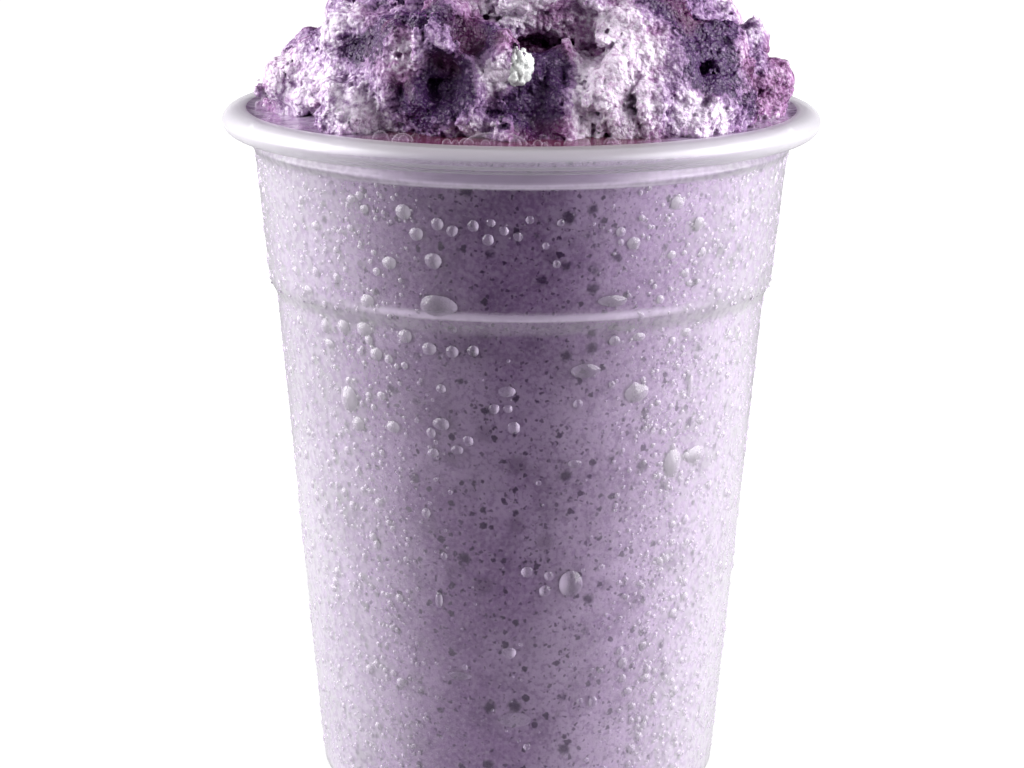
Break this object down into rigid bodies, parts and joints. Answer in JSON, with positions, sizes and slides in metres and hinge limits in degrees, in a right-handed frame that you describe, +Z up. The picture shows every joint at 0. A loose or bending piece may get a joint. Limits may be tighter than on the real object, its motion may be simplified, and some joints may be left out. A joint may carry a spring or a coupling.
{
  "type": "frozen slush drink",
  "caption": "Frozen fruit slush heaped over the brim of a clear plastic cold-drink cup with a curled rim, a stacking shoulder and a recessed base.",
  "frame": {"origin": "centre of the cup's foot, on the surface that it stands on", "axes": "+Z up along the cup's axis; -Y is the side of the heap that faces the viewer"},
  "size_m": [0.098, 0.098, 0.1497],
  "materials": {
    "clear_cup": "clear, cold and beaded with condensation",
    "slush": "rough porous ice crystals, speckled with dark fruit skin",
    "melt": "wet, glossy, with froth at its edge",
    "ice": "cloudy clear ice with small facets"
  },
  "bodies": {
    "root": {"cup": "clear_cup", "slush": "slush", "melt": "melt", "ice_lump": "ice"}
  },
  "joints": []
}
